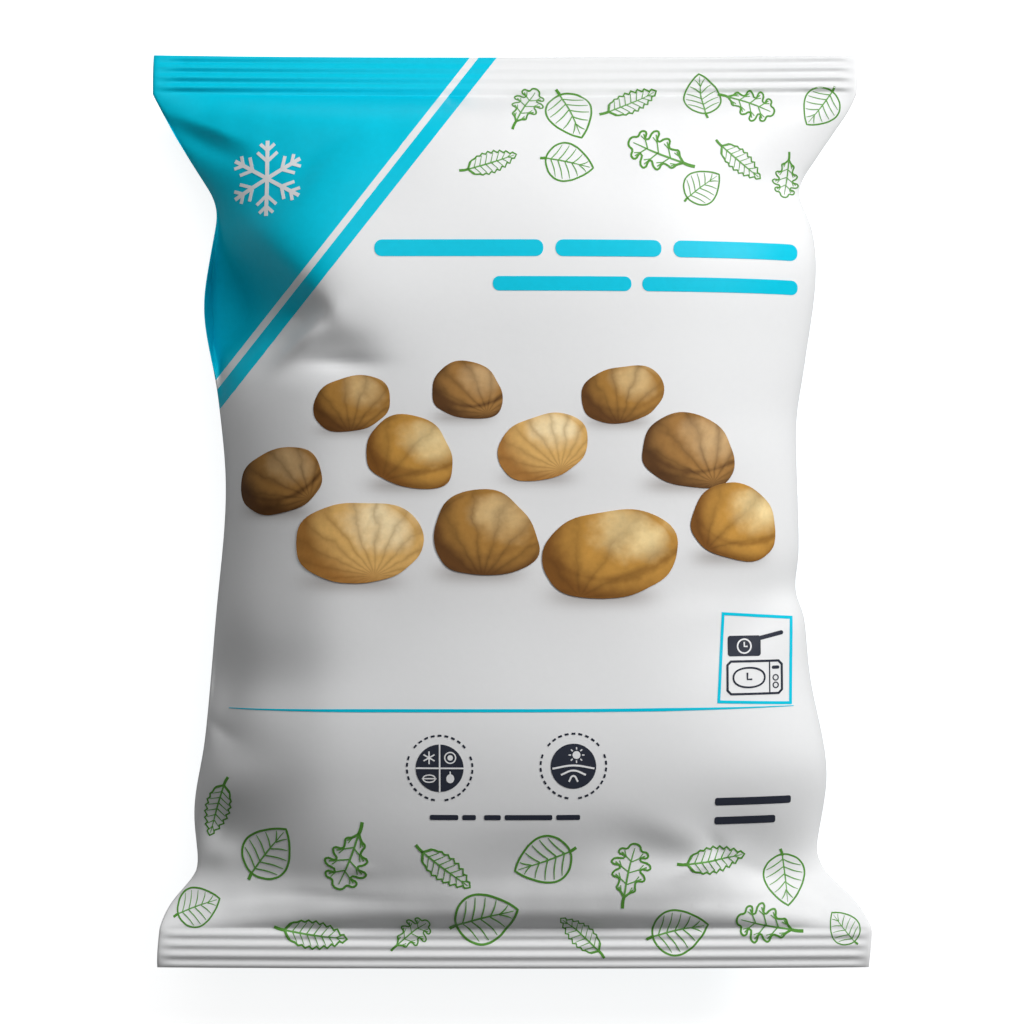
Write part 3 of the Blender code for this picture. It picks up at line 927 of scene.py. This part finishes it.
# white figures on the emblems: four seasons on the first, a sun over furrows on the second
x, y, radius = FIRST_EMBLEM
quarter = radius * 0.44
seed_line = [(x - quarter - 0.0024, y - quarter), (x - quarter + 0.0024, y - quarter)]
figures = [
    drawn_line([(x, y + radius), (x, y - radius)], 0.0005, sharp=(0, 1), steps=12),
    drawn_line([(x - radius, y), (x + radius, y)], 0.0005, sharp=(0, 1), steps=12),
    ink_disc(x + quarter, y + quarter, 0.0009),
    ink_ring(x + quarter, y + quarter, 0.0018, 0.0004),
    ink_ring(x - quarter, y - quarter, 0.0020, 0.0004, 0.6),
    drawn_line(seed_line, 0.0004, sharp=(0, 1)),
    ink_disc(x + quarter, y - quarter, 0.0013, 1.15),
    drawn_line([(x + quarter, y - quarter), (x + quarter, y - quarter + 0.0024)], 0.0004, sharp=(0, 1)),
]
for step in range(3):
    lean = math.radians(60.0 * step + 90.0)
    arm_x, arm_y = 0.0021 * math.cos(lean), 0.0021 * math.sin(lean)
    star = [(x - quarter - arm_x, y + quarter - arm_y), (x - quarter + arm_x, y + quarter + arm_y)]
    figures.append(drawn_line(star, 0.00045, sharp=(0, 1)))
x, y, radius = SECOND_EMBLEM
sun_x, sun_y = x + 0.0010, y + radius * 0.50
figures.append(ink_disc(sun_x, sun_y, 0.0013))
for step in range(8):
    lean = math.radians(45.0 * step)
    ray = [(sun_x + reach * math.cos(lean), sun_y + reach * math.sin(lean)) for reach in (0.0018, 0.0026)]
    figures.append(drawn_line(ray, 0.0004, sharp=(0, 1), steps=2))
for reach, drop in ((0.92, 0.02), (0.55, 0.30), (0.20, 0.60)):
    furrow = [(x - reach * radius, y - drop * radius - 0.0006), (x, y - drop * radius * 0.8 + 0.0004)]
    furrow.append((x + reach * radius, y - drop * radius - 0.0006))
    figures.append(drawn_line(furrow, 0.0006, steps=10))
lay_on_film(join_pieces(figures, "emblem_figures"), white_ink, WHITE_LIFT, SIGN_CELL)

small_bars = [
    ink_block((left + right) / 2, along, right - left, height, SMALL_ROUNDING * height)
    for left, right, along, height in SMALL_BARS
]
lay_on_film(join_pieces(small_bars, "small_bars"), dark_ink, INK_LIFT, SIGN_CELL)

# The snowflake
# A plain six-armed flake in white on the cyan corner, which tells that the pack is kept frozen. It is
# one arm with two pairs of twigs, drawn once and turned round six times.
FLAKE_CENTRE = (-0.0815, 0.1105)
FLAKE_ARM = 0.0130
FLAKE_LINE = 0.0013

# Twigs: (share of the arm, length)
FLAKE_TWIGS = ((0.45, 0.0042), (0.74, 0.0030))

arm = [drawn_line([(0.0, 0.0), (0.0, FLAKE_ARM)], FLAKE_LINE, sharp=(0, 1), steps=16)]
for share, twig in FLAKE_TWIGS:
    for side in (-1, 1):
        foot = (0.0, share * FLAKE_ARM)
        tip = (side * twig * 0.82, share * FLAKE_ARM + twig * 0.75)
        arm.append(drawn_line([foot, tip], FLAKE_LINE * 0.85, sharp=(0, 1), steps=6))
arm = join_pieces(arm, "flake_arm")
arm.data.transform(Matrix.Translation((0.0, 0.0, -DRAWING_HEIGHT)))
arms = [copy_to(arm, *FLAKE_CENTRE, 1.0, 60.0 * step) for step in range(6)]
bpy.data.objects.remove(arm)
lay_on_film(join_pieces(arms, "snowflake"), white_ink, INK_LIFT, SIGN_CELL)

# The studio
# A plain pale floor under the lying pack, soft light from the upper right, and the camera that looks
# straight down with the head seal at the top of the picture.
CAMERA_LENS = 120.0
SENSOR_WIDTH = 36.0
FLOOR_SIZE = 6.0
FLOOR_GREY = (0.60, 0.60, 0.60, 1.0)
FLOOR_GLOW = 0.85
AIR_LIGHT = 0.07

# Lights: (name, azimuth and elevation in degrees, distance, size, power)
STUDIO_LIGHTS = (
    ("key_light", 37.0, 38.0, 1.9, 0.9, 33.5),
    ("head_light", 99.0, 48.0, 0.85, 0.6, 1.7),
    ("top_light", 90.0, 88.0, 1.6, 1.2, 2.6),
)

bpy.ops.object.select_all(action="DESELECT")
bpy.ops.mesh.primitive_plane_add(size=FLOOR_SIZE, location=(0, 0, 0))
floor = bpy.context.object
floor.name = "floor"
floor_paint = bpy.data.materials.new("floor_paint")
floor_paint.use_nodes = True
paint = floor_paint.node_tree.nodes["Principled BSDF"]
paint.inputs["Base Color"].default_value = FLOOR_GREY
paint.inputs["Roughness"].default_value = 0.9
paint.inputs["Emission Color"].default_value = (1.0, 1.0, 1.0, 1.0)
seen = add_node(floor_paint.node_tree, "ShaderNodeLightPath")
glow = add_node(floor_paint.node_tree, "ShaderNodeMath", operation="MULTIPLY", values={1: FLOOR_GLOW})
floor_paint.node_tree.links.new(seen.outputs["Is Camera Ray"], glow.inputs[0])
floor_paint.node_tree.links.new(glow.outputs["Value"], paint.inputs["Emission Strength"])
floor.data.materials.append(floor_paint)

bpy.ops.object.camera_add(location=camera_place, rotation=(0, 0, 0))
camera = bpy.context.object
camera.data.lens = CAMERA_LENS
camera.data.sensor_width = SENSOR_WIDTH
bpy.context.scene.camera = camera

for name, azimuth, elevation, distance, size, power in STUDIO_LIGHTS:
    turn, lift = math.radians(azimuth), math.radians(elevation)
    place = Vector((math.cos(turn) * math.cos(lift), math.sin(turn) * math.cos(lift), math.sin(lift)))
    bpy.ops.object.light_add(type="AREA", location=place * distance)
    light = bpy.context.object
    light.name = name
    light.rotation_euler = place.to_track_quat("Z", "Y").to_euler()
    light.data.shape = "DISK"
    light.data.size = size
    light.data.energy = power

world = bpy.data.worlds.new("studio_air")
world.use_nodes = True
world.node_tree.nodes["Background"].inputs["Color"].default_value = (1.0, 1.0, 1.0, 1.0)
world.node_tree.nodes["Background"].inputs["Strength"].default_value = AIR_LIGHT
bpy.context.scene.world = world
bpy.context.scene.view_settings.view_transform = "Standard"
